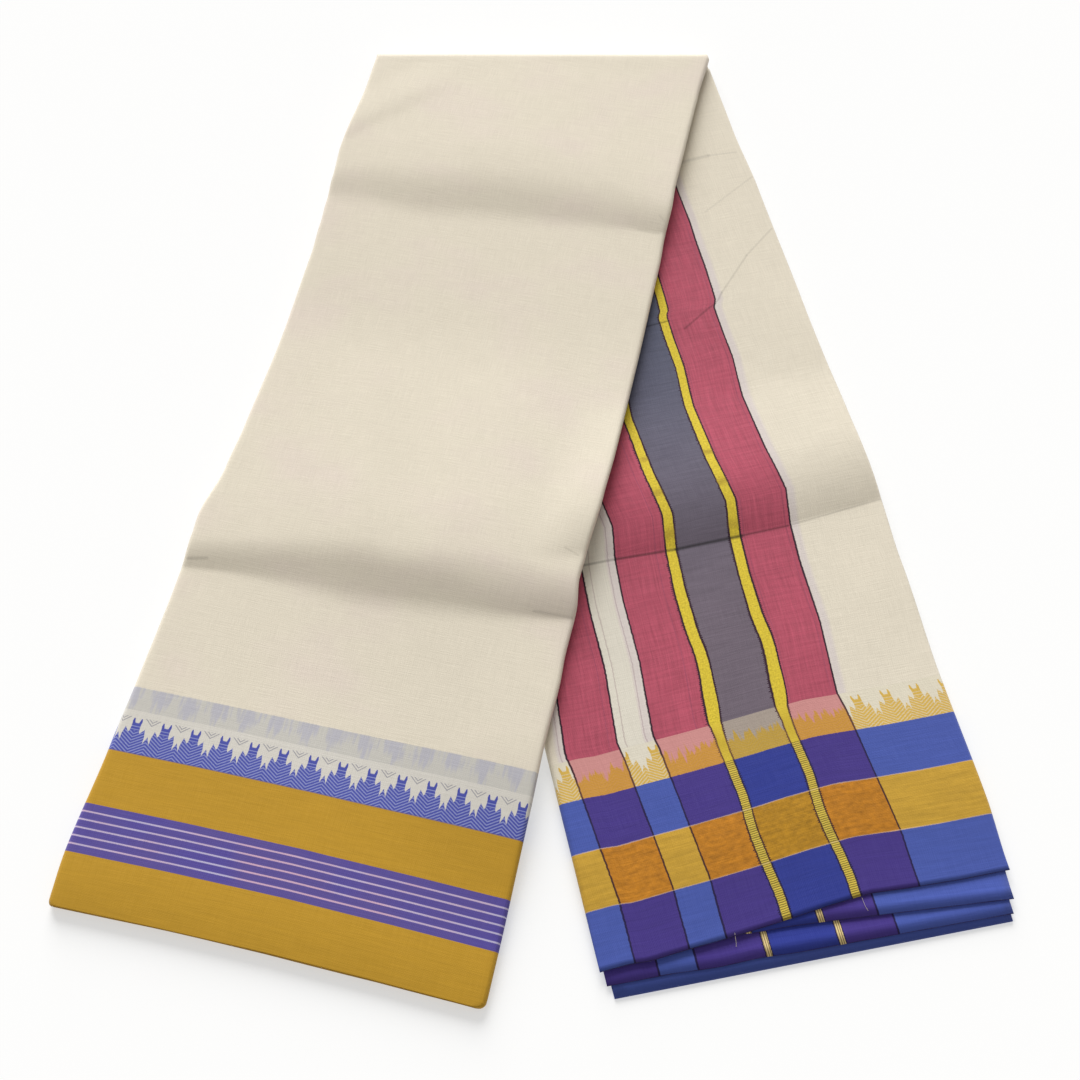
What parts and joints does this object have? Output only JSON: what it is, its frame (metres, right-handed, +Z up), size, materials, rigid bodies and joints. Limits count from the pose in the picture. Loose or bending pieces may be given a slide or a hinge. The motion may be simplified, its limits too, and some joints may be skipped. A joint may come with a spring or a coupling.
{
  "type": "folded dhoti cloth",
  "caption": "Flat-folded cotton dhoti, a long strip turned over once into a V, with striped panel, checked borders and stepped layers at its ends.",
  "frame": {"origin": "middle of the underside, on the surface that the folded cloth lies on", "axes": "+Z up, +Y from the two selvedge ends towards the turn, +X from the front leg towards the back leg"},
  "size_m": [0.512, 0.6512, 0.0163],
  "materials": {
    "ivory_cotton": "plain woven ivory cotton with a gold, purple and blue woven border",
    "striped_cotton": "plain woven cotton with pink, grey and yellow stripes and a checked border",
    "border_cotton": "plain woven blue and purple cotton selvedge with a low sheen",
    "hidden_cotton": "edges of stacked ivory cotton layers"
  },
  "bodies": {
    "root": {"front_panel": "ivory_cotton", "front_core": "hidden_cotton", "back_panel": "striped_cotton", "back_core": "hidden_cotton", "back_step_upper": "border_cotton", "back_step_lower": "border_cotton", "back_bottom": "border_cotton"}
  },
  "joints": []
}
